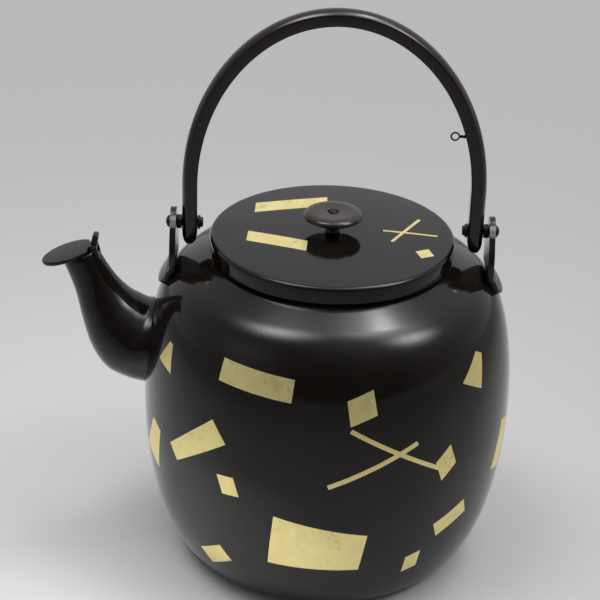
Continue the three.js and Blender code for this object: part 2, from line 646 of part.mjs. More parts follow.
function makeBackWasher() {
  const top = KNOB_SEAT_Z - LID_SHEET;
  const low = top - 0.9;
  return turned([
    [RIVET_R + 0.05, low], [BACK_WASHER_R, low], [BACK_WASHER_R, top], [RIVET_R + 0.05, top],
    [RIVET_R + 0.05, low],
  ], SMALL_ROUND);
}

const kettle = new THREE.Group();
kettle.name = 'water_kettle';
const stack = pivotStack();
kettle.add(
  meshOf('kettle_body', makeBody(), blackLacquer()),
  meshOf('neck_collar', makeCollar(), blackLacquer()),
  meshOf('spout', makeSpout(), blackLacquer()),
  meshOf('spout_cap', makeCap(), brownLacquer()),
  meshOf('cap_hinge_pin', makeCapPin(), darkMetal()),
  meshOf('lid_cap', makeLidCap(), blackLacquer()),
  meshOf('lid_seat_ring', makeSeatRing(), blackLacquer()),
  meshOf('knob', makeKnob(), brownLacquer()),
  meshOf('knob_stem', makeStem(), brownLacquer()),
  meshOf('knob_rivet', makeKnobRivet(), darkMetal()),
  meshOf('knob_back_washer', makeBackWasher(), darkMetal()),
  meshOf('handle', makeHandle(), brownLacquer()),
  meshOf('cord_eye', makeEye(), darkMetal()),
);
for (const [label, side] of [['left', -1], ['right', 1]]) {
  kettle.add(
    meshOf(`${label}_ear`, makeEar(side), brownLacquer()),
    meshOf(`${label}_pivot_pin`, makePin(side), darkMetal()),
    meshOf(`${label}_spacer_washer`, makeWasher(stack.spacer, side), darkMetal()),
    meshOf(`${label}_inner_washer`, makeWasher(stack.inner, side), darkMetal()),
  );
}

export default kettle;
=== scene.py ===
import math

import bmesh
import bpy
from mathutils import Matrix, Vector


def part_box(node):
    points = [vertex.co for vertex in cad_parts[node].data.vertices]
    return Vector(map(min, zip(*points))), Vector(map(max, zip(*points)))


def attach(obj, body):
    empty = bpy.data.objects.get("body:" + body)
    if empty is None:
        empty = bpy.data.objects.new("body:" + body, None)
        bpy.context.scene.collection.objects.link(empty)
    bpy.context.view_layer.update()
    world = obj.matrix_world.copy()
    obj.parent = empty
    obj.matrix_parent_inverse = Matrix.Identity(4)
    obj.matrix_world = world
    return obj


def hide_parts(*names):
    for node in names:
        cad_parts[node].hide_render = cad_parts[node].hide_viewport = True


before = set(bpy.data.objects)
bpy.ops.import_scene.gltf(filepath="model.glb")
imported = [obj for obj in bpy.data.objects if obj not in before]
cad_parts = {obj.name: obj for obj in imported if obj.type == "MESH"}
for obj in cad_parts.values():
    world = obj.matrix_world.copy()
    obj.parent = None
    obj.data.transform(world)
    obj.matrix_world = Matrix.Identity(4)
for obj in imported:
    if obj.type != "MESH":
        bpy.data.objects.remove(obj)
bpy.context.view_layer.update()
scene = bpy.context.scene
mm = 0.001

# Camera. It looks down on the kettle from its broad side, with the spout to the left, at the height of
# someone standing at a table, and leans a little to one side.
aim = Vector((-0.0143, 0, 0.131))
camera_away = 0.8704
camera_height, camera_lean = math.radians(27.34), math.radians(1.85)
lens = bpy.data.cameras.new("camera")
lens.sensor_width = 36
lens.lens = 108
camera = bpy.data.objects.new("camera", lens)
tilt = Matrix.Rotation(math.pi / 2 - camera_height, 4, "X") @ Matrix.Rotation(camera_lean, 4, "Z")
camera.matrix_world = Matrix.Translation(aim + tilt.col[2].to_3d() * camera_away) @ tilt
scene.collection.objects.link(camera)
scene.camera = camera

# Floor and room. The camera sees a pale grey studio floor with pools of light painted into its colour,
# lightest round the kettle, and plain grey behind it. All other light comes from soft glows overhead, and
# from a floor and a room that are bright beside and behind the kettle and dark in front of it; on the floor,
# that brightness and darkness is painted into its colour.
scene.view_settings.view_transform = "Standard"


def feed(made, inputs):
    """Sets a node's inputs to values, or links them to other nodes' outputs."""
    for socket, value in inputs.items():
        if isinstance(value, bpy.types.NodeSocket):
            made.id_data.links.new(value, made.inputs[socket])
        else:
            made.inputs[socket].default_value = value


def node(tree, kind, inputs=None, **settings):
    """Adds a shader or geometry node with its properties and inputs, and gives its outputs."""
    made = tree.nodes.new(kind)
    for name, value in settings.items():
        setattr(made, name, value)
    feed(made, inputs or {})
    return made.outputs


def reckon(operation, *numbers):
    """Works out a number from others, of which the first comes from a node."""
    return node(numbers[0].id_data, "ShaderNodeMath", dict(enumerate(numbers)), operation=operation)[0]


def reckon_vector(operation, *vectors):
    """Works out a vector or a length from vectors, of which the first comes from a node."""
    inputs = dict(enumerate(vectors))
    made = node(vectors[0].id_data, "ShaderNodeVectorMath", inputs, operation=operation)
    return made["Value" if operation in ("LENGTH", "DOT_PRODUCT") else "Vector"]


def split(vector):
    """The X, Y and Z of a vector."""
    return node(vector.id_data, "ShaderNodeSeparateXYZ", {0: vector})


def material(name):
    """An empty finish: its Principled shader is ready to be fed from the place on the piece."""
    made = bpy.data.materials.new(name)
    made.use_nodes = True
    tree = made.node_tree
    return made, tree.nodes["Principled BSDF"], node(tree, "ShaderNodeTexCoord")["Object"]


def noise(place, scale, detail=3.0, roughness=0.55):
    """Noise on the piece's own coordinates, in waves of 1/scale metres."""
    inputs = {"Vector": place, "Scale": scale, "Detail": detail, "Roughness": roughness}
    return node(place.id_data, "ShaderNodeTexNoise", inputs)["Fac"]


def spread(value, low, high, start=0.3, end=0.7):
    """Stretches a value between start and end onto the range from low to high."""
    inputs = {"Value": value, "From Min": start, "From Max": end, "To Min": low, "To Max": high}
    return node(value.id_data, "ShaderNodeMapRange", inputs, clamp=True)["Result"]


def blended(share, first, second):
    """Mixes two colours, or two colour outputs, by a share."""
    first, second = ((*c, 1) if isinstance(c, tuple) else c for c in (first, second))
    return node(share.id_data, "ShaderNodeMix", {0: share, 6: first, 7: second}, data_type="RGBA")[2]


def relief(height, depth):
    """A bump of that depth in metres, for a shader's normal."""
    return node(height.id_data, "ShaderNodeBump", {"Height": height, "Distance": depth, "Strength": 1.0})[0]


sweep_finish, shader, place = material("sweep")
faint = spread(noise(place, 1.4), -0.02, 0.02)


def away_from(middle, behind):
    """Distance on the floor from a point, where the way behind that point counts only in part."""
    way = split(reckon_vector("SUBTRACT", place, (*middle, 0)))
    nearer = reckon("MINIMUM", way["Y"], reckon("MULTIPLY", way["Y"], behind))
    joined = node(place.id_data, "ShaderNodeCombineXYZ", {"X": way["X"], "Y": nearer})[0]
    return reckon("ADD", reckon_vector("LENGTH", joined), faint)


def floor_with_painted_light(colour, *pools):
    """A floor colour with pools of light painted into it. Each painted pool has its middle, how much of the
    way behind it counts, its reach in metres, the power by which it fades, and its colour."""
    for middle, behind, reach, power, pool in pools:
        nearness = spread(away_from(middle, behind), 1, 0, 0, reach)
        colour = blended(reckon("POWER", nearness, power), colour, pool)
    return colour


# painted light: the floor that the camera sees is painted lighter round the kettle, and lighter still close
# to its base, where the paint lightens the kettle's shadow
seen_floor = floor_with_painted_light(
    (0.303, 0.303, 0.308),
    ((-0.1, -0.06), 1, 0.9, 3, (0.54, 0.54, 0.545)),
    ((-0.05, -0.05), 1, 0.19, 2, (0.67, 0.67, 0.675)),
)
# painted light and shade: the floor that reflections and bounced light see is painted bright beside and
# behind the kettle, dark in front of it, and brightest close to its base
mirrored_floor = floor_with_painted_light(
    (0.157, 0.157, 0.159),
    ((-0.1, 0.1), 0.35, 0.9, 2, (0.68, 0.68, 0.685)),
    ((-0.08, -0.06), 1, 0.14, 1, (0.98, 0.98, 0.98)),
)
to_camera = node(place.id_data, "ShaderNodeLightPath")["Is Camera Ray"]
feed(shader, {
    "Base Color": blended(to_camera, mirrored_floor, seen_floor),
    "Roughness": 0.6,
    "Specular IOR Level": 0.2,
})
floor_side, floor_front, floor_behind = 3.4, -1.5, 5.0
floor_mesh = bpy.data.meshes.new("floor")
floor_mesh.from_pydata([
    (-floor_side, floor_front, 0), (floor_side, floor_front, 0),
    (floor_side, floor_behind, 0), (-floor_side, floor_behind, 0),
], [], [(0, 1, 2, 3)])
floor_mesh.materials.append(sweep_finish)
floor = bpy.data.objects.new("floor", floor_mesh)
scene.collection.objects.link(floor)

room = bpy.data.worlds.new("room")
room.use_nodes = True
scene.world = room
tree = room.node_tree
place = node(tree, "ShaderNodeTexCoord")["Generated"]
room_front, room_back, room_seen = (0.058, 0.057, 0.056), (0.65, 0.65, 0.66), (0.476, 0.476, 0.483)
room_light = blended(spread(split(place)["Y"], 0, 1, -0.7, 0.85), room_front, room_back)
# each soft light has its slant from straight overhead and its turn in degrees, where turn 0 is towards
# the camera and 90 is to the right, then how bright its middle is, and how narrow its glow is
for slant, turn, brightness, narrowness, colour in (
    (40.7, 76.5, 10.8, 60, (1, 0.99, 0.97)),
    (18.2, 108, 6.6, 40, (1, 1, 1)),
    (21, 126, 11.5, 350, (1, 1, 1)),
    (19.4, -83, 10.5, 45, (1, 1, 0.99)),
    (22, 70, 0.58, 4, (1, 1, 1)),
    (67.6, -54, 0.41, 18, (1, 1, 1)),
):
    slant, turn = math.radians(slant), math.radians(turn)
    towards = (math.sin(slant) * math.sin(turn), -math.sin(slant) * math.cos(turn), math.cos(slant))
    nearness = reckon("MAXIMUM", reckon_vector("DOT_PRODUCT", place, towards), 0)
    full = [brightness * part for part in colour]
    glow = reckon_vector("MULTIPLY", reckon("POWER", nearness, narrowness), full)
    room_light = reckon_vector("ADD", room_light, glow)
to_camera = node(tree, "ShaderNodeLightPath")["Is Camera Ray"]
feed(tree.nodes["Background"], {"Color": blended(to_camera, room_light, room_seen)})

# Kettle body. One thin shell of spun copper, with a flat base, a full belly and a drawn-in shoulder that
# ends in a narrow land round the mouth. It is lacquered black, in thin coats rubbed to a gloss.
body_r, _, land_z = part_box("kettle_body")[1]
belly_z = 81.3 * mm
under_base = 7.2 * mm
lower_bend, lower_square = 1.79, 6.27
upper_reach = 74.1 * mm
upper_bend, upper_square = 2.08, 8.67
crown_r = 0.772 * body_r
crown_slope, crown_ease = 0.5, 0.25
base_flat_r = 62 * mm
base_edge, edge_slope = 2.2 * mm, 0.2
body_wall = 1.6 * mm
mouth_r = 54.2 * mm
land_r = 56.5 * mm
body_facets = 224


def body_radius(z):
    """Outer radius of the body at a height."""
    reach, bend, square = (
        (belly_z + under_base, lower_bend, lower_square) if z < belly_z
        else (upper_reach, upper_bend, upper_square)
    )
    return body_r * max(0, 1 - (abs(z - belly_z) / reach) ** bend) ** (1 / square)


def shoulder_height(radius):
    """Height of the shoulder's outside at a radius. Near the neck it is almost a straight slope."""
    outer = max(radius, crown_r)
    run = outer - radius
    return (
        belly_z + upper_reach * (1 - (outer / body_r) ** upper_square) ** (1 / upper_bend)
        + crown_slope * run * (1 - crown_ease * run / crown_r)
    )


def shares(steps, start=0):
    """Even shares of a way, from start/steps up to 1."""
    return [k / steps for k in range(start, steps + 1)]


def body_profile():
    """Outside of the body from the flat base up to the land, as (radius, height)."""
    def station(turn, reach, bend, square, side):
        return body_r * math.cos(turn) ** (2 / square), belly_z + side * reach * math.sin(turn) ** (2 / bend)

    lowest = math.asin(((belly_z - base_edge) / (belly_z + under_base)) ** (lower_bend / 2))
    highest = math.acos((crown_r / body_r) ** (upper_square / 2))
    lower = [station(lowest * (1 - t), belly_z + under_base, lower_bend, lower_square, -1)
             for t in shares(40)[:-1]]
    upper = [station(highest * t, upper_reach, upper_bend, upper_square, 1) for t in shares(64)]
    upper += [(r, shoulder_height(r)) for r in (crown_r + (land_r - crown_r) * t for t in shares(14, 1))]
    start = Vector(lower[0])
    slope = (start - Vector(lower[1])).normalized()
    corner = start + slope * (start.y / max(-slope.y, edge_slope))
    foot, heel = Vector((base_flat_r, 0)), Vector((corner.x, 0))
    edge = [foot.lerp(heel, t).lerp(heel.lerp(start, t), t)[:] for t in shares(8)[:-1]]
    return edge + lower + upper


def moved_out(profile, distance):
    """The same profile, moved out along its normal."""
    moved = []
    for i, (r, z) in enumerate(profile):
        r0, z0 = profile[max(i - 1, 0)]
        r1, z1 = profile[min(i + 1, len(profile) - 1)]
        length = math.hypot(r1 - r0, z1 - z0)
        moved.append((r + distance * (z1 - z0) / length, z - distance * (r1 - r0) / length))
    return moved


def turned(profile, facets):
    """Points and faces of a turned piece. Its profile runs from axis to axis, or is closed to a ring."""
    points, faces, rings = [], [], []
    for r, z in profile if profile[0][0] == 0 else profile + profile[:1]:
        if r == 0:
            rings.append([len(points)] * facets)
            points.append((0, 0, z))
        else:
            rings.append(list(range(len(points), len(points) + facets)))
            points += [(r * math.cos(a), r * math.sin(a), z)
                       for a in (2 * math.pi * i / facets for i in range(facets))]
    for low, high in zip(rings, rings[1:]):
        for i in range(facets):
            j = (i + 1) % facets
            face = list(dict.fromkeys((low[i], low[j], high[j], high[i])))
            if len(face) > 2:
                faces.append(face)
    return points, faces


def smooth(made, sharp=32):
    """Smooth faces, with a crease where they meet at more than an angle."""
    made.data.shade_smooth()
    made.data.set_sharp_from_angle(angle=math.radians(sharp))


def piece(name, points, faces, finish, sharp=32):
    """A piece from points and faces: shared points are joined, and faces point outwards."""
    mesh = bpy.data.meshes.new(name)
    mesh.from_pydata([tuple(p) for p in points], [], faces)
    shape = bmesh.new()
    shape.from_mesh(mesh)
    bmesh.ops.remove_doubles(shape, verts=shape.verts, dist=1e-7)
    bmesh.ops.recalc_face_normals(shape, faces=shape.faces)
    shape.to_mesh(mesh)
    shape.free()
    made = bpy.data.objects.new(name, mesh)
    scene.collection.objects.link(made)
    mesh.materials.append(finish)
    smooth(made, sharp)
    return made


def settle(made, sharp=32):
    """Turns a piece with its modifiers into a plain mesh."""
    view = bpy.context.evaluated_depsgraph_get()
    mesh = bpy.data.meshes.new_from_object(made.evaluated_get(view))
    mesh.validate()
    made.modifiers.clear()
    made.data = mesh
    smooth(made, sharp)


def worked(made, tool, how, sharp=32):
    """Cuts a piece with a tool, or joins the tool to it, and takes the tool away."""
    step = made.modifiers.new("work", "BOOLEAN")
    step.operation, step.object, step.solver = how, tool, "EXACT"
    settle(made, sharp)
    bpy.data.objects.remove(tool)


def softened(made, width, segments=3):
    """Gives a piece's sharp edges a small round."""
    edge = made.modifiers.new("edge", "BEVEL")
    edge.width, edge.segments, edge.limit_method = width, segments, "ANGLE"
    edge.angle_limit = math.radians(50)


def ride(made, body, slot, *nodes):
    """Fixes a piece to its body, and hides the nodes that it stands for. The slot is not used."""
    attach(made, body)
    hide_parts(*nodes)


def coat(name, colours, clouds, rubbing, roughness, waves, depth, ripple=0.0, **own):
    """A finish whose colour lies in clouds between two, that is rubbed unevenly and waves a little. Clouds,
    rubbing and waves are the scale, detail and roughness of a noise. Own numbers hold all over it."""
    made, shader, place = material(name)
    height = noise(place, *waves)
    if ripple:
        height = reckon("MULTIPLY_ADD", noise(place, 700, 2), ripple, height)
    feed(shader, {
        "Base Color": blended(spread(noise(place, *clouds), 0, 1), *colours),
        "Roughness": spread(noise(place, *rubbing), *roughness),
        "Normal": relief(height, depth),
        **own,
    })
    return made


# black lacquer: nearly black, a little brown in depth, rubbed to a gloss that still waves slightly
black_lacquer = coat(
    "black_lacquer", ((0.0046, 0.0036, 0.0030), (0.0078, 0.0056, 0.0045)), clouds=(38, 4),
    rubbing=(210, 5, 0.7), roughness=(0.06, 0.13), waves=(26, 1), depth=0.22 * mm, ripple=0.05,
    **{"Specular IOR Level": 0.34},
)

outside = body_profile()
inside = [(r, z) for r, z in moved_out(outside, -body_wall) if r > mouth_r or z < belly_z]
body_outline = (
    [(0, 0)] + outside + [(mouth_r, land_z), (mouth_r, land_z - body_wall)]
    + inside[::-1] + [(0, body_wall)]
)
kettle_body = piece("body_shell", *turned(body_outline, body_facets), black_lacquer)

# Neck collar. A short ring of copper round the mouth, with a small foot, soldered on the land of the
# shoulder and lacquered together with the body.
collar_r, collar_soft = 55.6 * mm, 0.4 * mm
collar_foot_r, _, collar_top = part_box("neck_collar")[1]
solder_depth = 0.25 * mm
collar_facets = 192


def rounded(corners, steps=5):
    """An outline through corners of (x, y, radius), with an arc of that radius at each."""
    outline = []
    for i, (x, y, radius) in enumerate(corners):
        if radius == 0:
            outline.append((x, y))
            continue
        here = Vector((x, y))
        before = (Vector(corners[i - 1][:2]) - here).normalized()
        after = (Vector(corners[(i + 1) % len(corners)][:2]) - here).normalized()
        half = before.angle(after) / 2
        middle = here + (before + after).normalized() * (radius / math.sin(half))
        start = here + before * (radius / math.tan(half)) - middle
        end = here + after * (radius / math.tan(half)) - middle
        sweep = start.angle(end)
        for t in shares(steps):
            arm = start * math.sin((1 - t) * sweep) + end * math.sin(t * sweep)
            outline.append((middle + arm / math.sin(sweep))[:])
    return outline


collar_outline = rounded([
    (mouth_r, land_z - solder_depth, 0),
    (collar_foot_r, land_z - solder_depth, 0),
    (collar_foot_r, land_z, 0),
    (collar_r, land_z + collar_foot_r - collar_r, collar_soft),
    (collar_r, collar_top, collar_soft),
    (mouth_r, collar_top, collar_soft),
])
collar = piece("collar_ring", *turned(collar_outline, collar_facets), black_lacquer)
ride(collar, "kettle", "black_lacquer", "neck_collar")

# Spout. A tapering tube of sheet copper, curved up from a wide root low on the shoulder to a slanted
# mouth with a rolled lip. It is soldered to the body round its root and lacquered over the seam.
spout_wall = 1.3 * mm
spout_sink = 0.8 * mm
spout_facets, spout_steps, lip_steps = 96, 56, 6
past_end = 80 * mm
mouth_tilt = math.radians(20)
lip = 0.5 * mm
# each ring of the tube has its way out from the body and up from the belly, its radius, and how steep it
# points; it turns a little ahead of the tube, so that the rings don't cross on the inner side of the bend
spout_stations = [
    (-14, 25.2, 21.7, 6), (-4.6, 26.3, 21.9, 19), (0.9, 27.6, 21.7, 25), (7.3, 29.6, 20.3, 35),
    (12.9, 35.6, 17.8, 45), (18.3, 45, 13.7, 57), (23.6, 56.8, 10.3, 66), (30.5, 71.7, 8.7, 65.2),
]
spout_line = [
    Vector((-body_r - out * mm, belly_z + rise * mm, r * mm, math.radians(steep)))
    for out, rise, r, steep in spout_stations
]
mouth_x, mouth_z = spout_line[-1][:2]
mouth_middle = Vector((mouth_x, 0, mouth_z))
mouth_up = Vector((-math.sin(mouth_tilt), 0, math.cos(mouth_tilt)))
mouth_side = Vector((math.cos(mouth_tilt), 0, math.sin(mouth_tilt)))


def spout_at(share):
    """Middle, direction and radius of the spout at a share of its length, and straight on past its ends."""
    last = len(spout_line) - 1
    inside_share = min(max(share, 0), 1)
    i = min(int(inside_share * last), last - 1)
    t = inside_share * last - i
    p1, p2 = spout_line[i], spout_line[i + 1]
    p0 = spout_line[i - 1] if i > 0 else 2 * p1 - p2
    p3 = spout_line[i + 2] if i + 2 <= last else 2 * p2 - p1
    m1, m2 = (p2 - p0) / 2, (p3 - p1) / 2
    here = (
        (2 * t ** 3 - 3 * t ** 2 + 1) * p1 + (t ** 3 - 2 * t ** 2 + t) * m1
        + (3 * t ** 2 - 2 * t ** 3) * p2 + (t ** 3 - t ** 2) * m2
    )
    along = Vector((-math.cos(here.w), 0, math.sin(here.w)))
    return Vector((here.x, 0, here.y)) + along * (share - inside_share) * past_end, along, here.z


def on_spout(turn, share, shrink):
    """A point of the spout's outside, or of its bore where the wall is taken off."""
    middle, along, r = spout_at(share)
    upper = Vector((0, 1, 0)).cross(along)
    r -= shrink
    return middle + upper * (r * math.sin(turn)) + Vector((0, r * math.cos(turn), 0))


def crossing(test, low, high):
    """The share where a test changes sign."""
    for _ in range(30):
        half = (low + high) / 2
        low, high = (half, high) if test(half) > 0 else (low, half)
    return (low + high) / 2


def root_share(turn, shrink):
    """Where the spout's line at this turn comes out of the body's wall."""
    def depth_in_wall(share):
        p = on_spout(turn, share, shrink)
        return body_radius(p.z) - spout_sink - math.hypot(p.x, p.y)
    return crossing(depth_in_wall, 0.0, 0.75)


def mouth_share(turn, shrink):
    """Where the spout's line at this turn meets the plane just under the lip."""
    def depth_under_lip(share):
        return -lip - (on_spout(turn, share, shrink) - mouth_middle).dot(mouth_up)
    return crossing(depth_under_lip, 0.7, 1.15)


def tube_rows(shrink):
    """Rings of points along the tube between its root and its mouth."""
    lines = []
    for turn in spout_turns:
        first, final = root_share(turn, shrink), mouth_share(turn, shrink)
        lines.append([on_spout(turn, first + (final - first) * t, shrink) for t in shares(spout_steps)])
    return [list(row) for row in zip(*lines)]


def quads(rows, columns, closed=False):
    """Faces between rows of points that all have the same count of columns."""
    return [
        (i * columns + j, i * columns + (j + 1) % columns,
         (i + 1) * columns + (j + 1) % columns, (i + 1) * columns + j)
        for i in range(rows - 1) for j in range(columns if closed else columns - 1)
    ]


def lofted(rings, closed_ends=False):
    """Points and faces through rings that all have the same count of points."""
    count = len(rings[0])
    points = [p for ring in rings for p in ring]
    faces = quads(len(rings), count, True)
    if closed_ends:
        faces += [tuple(range(count)), tuple(range(len(points) - count, len(points)))]
    return points, faces


spout_turns = [2 * math.pi * i / spout_facets for i in range(spout_facets)]
spout_rings, bore_rings = tube_rows(0), tube_rows(spout_wall)
outer_edge, inner_edge = spout_rings[-1], bore_rings[-1]
for bend in (math.pi * t for t in shares(lip_steps, 1)[:-1]):
    spout_rings.append([
        o + (i - o) * (1 - math.cos(bend)) / 2 + mouth_up * (lip * math.sin(bend))
        for o, i in zip(outer_edge, inner_edge)
    ])
spout_rings += bore_rings[::-1] + spout_rings[:1]
spout = piece("spout_tube", *lofted(spout_rings), black_lacquer, 40)
passage_start, passage_length = -0.02, 0.5
passage = [
    [on_spout(turn, passage_start + passage_length * t, spout_wall) for turn in spout_turns]
    for t in shares(20)
]
worked(kettle_body, piece("passage", *lofted(passage, True), black_lacquer), "DIFFERENCE")
ride(kettle_body, "kettle", "black_lacquer", "kettle_body")

# Hinge lugs of the spout. Two small cheeks of plate, soldered to the inner side of the mouth, with the gap
# between them filed out for the cap's knuckle and tab.
hinge = Vector((mouth_x + 6.9 * mm, 0, mouth_z + 3.3 * mm))
knuckle_r, knuckle_w = 1.8 * mm, 5 * mm
room_half = knuckle_w / 2 + 0.15 * mm
lug_r, lug_t, lug_drop, lug_heel, lug_soft = 2 * mm, 1.4 * mm, 7 * mm, 0.6 * mm, 0.3 * mm
lug_lean = math.radians(26)
tab_t, tab_h = 2.9 * mm, 7 * mm
tab_lean = math.radians(12)
cap_opens = math.radians(105)
tab_room = 0.35 * mm


def arc(radius, start, end, steps):
    """Points of an arc round (0, 0) between two angles in degrees."""
    turns = [math.radians(start + (end - start) * t) for t in shares(steps)]
    return [(radius * math.cos(a), radius * math.sin(a)) for a in turns]


def leaned(outline, lean, x0=0.0, z0=0.0):
    """Turns an outline of (x, z) points clockwise by an angle, and moves it."""
    c, s = math.cos(lean), math.sin(lean)
    return [(x0 + x * c + z * s, z0 - x * s + z * c) for x, z in outline]


def slab(name, outline, lean, sides, soft=0.0):
    """A plate across the hinge line: an outline round the hinge that leans, between two sides in y."""
    count = len(outline)
    points = [(x, y, z) for y in sorted(sides) for x, z in leaned(outline, lean, hinge.x, hinge.z)]
    faces = quads(2, count, True) + [tuple(range(count)), tuple(range(count, 2 * count))]
    made = piece(name, points, faces, black_lacquer)
    if soft:
        softened(made, soft)
        settle(made)
    return made


lug_outline = arc(lug_r, 0, 180, 24) + [(-lug_r, -lug_drop), (lug_heel, -lug_drop)]
for side in (-1, 1):
    sides = (side * room_half, side * (room_half + lug_t))
    worked(spout, slab("cheek", lug_outline, -lug_lean, sides, lug_soft), "UNION", 40)
# the room runs round the knuckle's lower side, and opens to where the tab is when the cap stands open
tab_half = tab_t / 2 + tab_room
tab_end = leaned([(tab_half, 0.1 * mm), (tab_half, tab_h)], tab_lean + cap_opens)
hinge_room = arc(knuckle_r + tab_room, 97.5, 322.5, 30) + tab_end + [(tab_h, knuckle_r + tab_room)]
worked(spout, slab("hinge_room", hinge_room, 0, (-room_half, room_half)), "DIFFERENCE", 40)
ride(spout, "kettle", "black_lacquer", "spout")

# Cap of the spout. An oval plate of cast metal with a soft rim, a knuckle and an upright tab for the
# thumb. It swings on a pin between the lugs and falls shut by itself.
cap_half = (13.3 * mm, 10.5 * mm)
cap_t, cap_gap, cap_rim, cap_crown = 2 * mm, 0.3 * mm, 0.8 * mm, 0.25 * mm
cap_middle = Vector((mouth_x - 5.1 * mm, 0, mouth_z - 1.1 * mm))
cap_line = (cap_middle - mouth_middle).dot(mouth_side)
lug_clear_r, past_cap = 1.25 * lug_r, 20 * mm
tab_soft, part_soft = 1.3 * mm, 0.35 * mm

cap_lacquer = coat(
    "cap_lacquer", ((0.0072, 0.0071, 0.0062), (0.0130, 0.0125, 0.0105)), clouds=(120, 5),
    rubbing=(420, 4, 0.7), roughness=(0.22, 0.34), waves=(700, 3), depth=0.05 * mm,
    **{"Specular IOR Level": 0.22},
)


def cap_ring(inset, height):
    """One ring of the cap's oval, in from its rim and up from the mouth."""
    return [
        mouth_middle + mouth_side * (cap_line + (cap_half[0] - inset) * c)
        + Vector((0, (cap_half[1] - inset) * s, 0)) + mouth_up * (cap_gap + height)
        for c, s in arc(1, 0, 360, 96)[:-1]
    ]


cap_rings = [cap_ring(cap_rim * (1 - s), cap_rim * (1 - c)) for c, s in arc(1, 0, 90, 6)]
cap_rings += [cap_ring(cap_rim * (1 - c), cap_t - cap_rim * (1 - s)) for c, s in arc(1, 0, 90, 6)]
for inset in (1.6 * mm, 2.8 * mm, 4.6 * mm, 6.8 * mm, 9.2 * mm):
    fall = (inset - cap_rim) / (cap_half[1] - cap_rim)
    cap_rings.append(cap_ring(inset, cap_t + cap_crown * (1 - (1 - fall) ** 2)))
cap_plate = piece("cap_plate", *lofted(cap_rings, True), cap_lacquer, 30)
for side in (-1, 1):
    sides = (side * knuckle_w / 2, side * past_cap)
    worked(cap_plate, slab("lug_room", arc(lug_clear_r, 0, 360, 40)[:-1], 0, sides), "DIFFERENCE", 30)
tab_outline = rounded([
    (-tab_t / 2, 0, 0), (tab_t / 2, 0, 0), (tab_t / 2, tab_h, tab_soft), (-tab_t / 2, tab_h, tab_soft),
], 8)
for outline, lean in ((arc(knuckle_r, 0, 360, 40)[:-1], 0), (tab_outline, tab_lean)):
    part = slab("cap_part", outline, lean, (-knuckle_w / 2, knuckle_w / 2), part_soft)
    worked(cap_plate, part, "UNION", 30)
ride(cap_plate, "cap", "brown_lacquer", "spout_cap")

# Pin of the cap's hinge. A short brass pin with two small flat heads outside the lugs. Like the other pins
# and washers, it is darkened in a bath and not lacquered.
pin_half = room_half + lug_t
pin_r, pin_head_r, pin_head, pin_soft = 0.8 * mm, 1.2 * mm, 0.5 * mm, 0.35 * mm

dark_metal = coat(
    "dark_metal", ((0.014, 0.0118, 0.0115), (0.040, 0.0325, 0.0305)), clouds=(260, 5, 0.65),
    rubbing=(900, 3), roughness=(0.28, 0.46), waves=(1400, 3), depth=0.05 * mm, Metallic=0.85,
)


def laid(shape, middle, towards):
    """Lays a turned shape that stands on Z along another line, with its top towards that side."""
    points, faces = shape
    turn = Vector((0, 0, 1)).rotation_difference(Vector(towards)).to_matrix()
    return [turn @ Vector(p) + Vector(middle) for p in points], faces


half_pin = [
    (pin_r, pin_half, 0), (pin_head_r, pin_half, 0), (pin_head_r, pin_half + pin_head, pin_soft),
    (0, pin_half + pin_head, 0),
]
pin_outline = rounded([(r, -way, soft) for r, way, soft in half_pin[::-1]] + half_pin)
cap_pin = piece("cap_pin", *laid(turned(pin_outline, 32), hinge, (0, 1, 0)), dark_metal)
ride(cap_pin, "kettle", "dark_metal", "cap_hinge_pin")

# Lid. A disc of sheet copper with a turned-down rim, worked over a stake so that its top is very slightly
# crowned and its upper edge is rounded. It is lacquered like the body.
lid_low, lid_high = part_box("lid_cap")
lid_r, lid_middle, lid_foot = lid_high[0], lid_high[2], lid_low[2]
lid_crown, lid_fall = 1.35 * mm, 1.8
lid_top = lid_middle - lid_crown
lid_sheet = 1.3 * mm
lid_edge = 1.9 * mm
seat_flat_r = 5.2 * mm
rivet_r = 1.1 * mm


def lid_height(radius):
    """Height of the lid's top at a radius: a low crown round the small flat that the knob stands on."""
    share = max(0, radius - seat_flat_r) / (lid_r - lid_edge - seat_flat_r)
    return lid_middle - lid_crown * share ** lid_fall


lid_rim = rounded([
    (rivet_r, lid_top, 0), (lid_r, lid_top, lid_edge), (lid_r, lid_foot, 0.45 * mm),
    (lid_r - lid_sheet, lid_foot, 0), (lid_r - lid_sheet, lid_top - lid_sheet, 0.8 * mm),
], 10)[1:]
lid_radii = [rivet_r] + [seat_flat_r + (lid_r - lid_edge - seat_flat_r) * t for t in shares(24)[:-1]]
lid_upper = [(r, lid_height(r)) for r in lid_radii]
lid_lower = [(r, z - lid_sheet) for r, z in lid_upper[::-1]]
lid = piece("lid_top", *turned(lid_upper + lid_rim + lid_lower, body_facets), black_lacquer)
ride(lid, "lid", "black_lacquer", "lid_cap")

# Seat ring of the lid. A ring of sheet copper, soldered in under the lid to close its rim, with a flange
# that drops into the neck and keeps the lid in its middle.
seat_low, seat_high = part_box("lid_seat_ring")
seat_sheet = 1.2 * mm
flange_r, flange_in, flange_soft = 53.4 * mm, 0.6 * mm, 0.4 * mm
seat_outline = rounded([
    (seat_high[0], lid_foot, 0), (seat_high[0], lid_foot + seat_sheet, 0),
    (flange_r - seat_sheet, lid_foot + seat_sheet, 1 * mm),
    (flange_r - seat_sheet - flange_in, seat_low[2], flange_soft),
    (flange_r - flange_in, seat_low[2], flange_soft), (flange_r, seat_low[2] + 2 * mm, 3 * mm),
    (flange_r, lid_foot, flange_soft),
])
seat_ring = piece("lid_seat", *turned(seat_outline, collar_facets), black_lacquer)
ride(seat_ring, "lid", "black_lacquer", "lid_seat_ring")

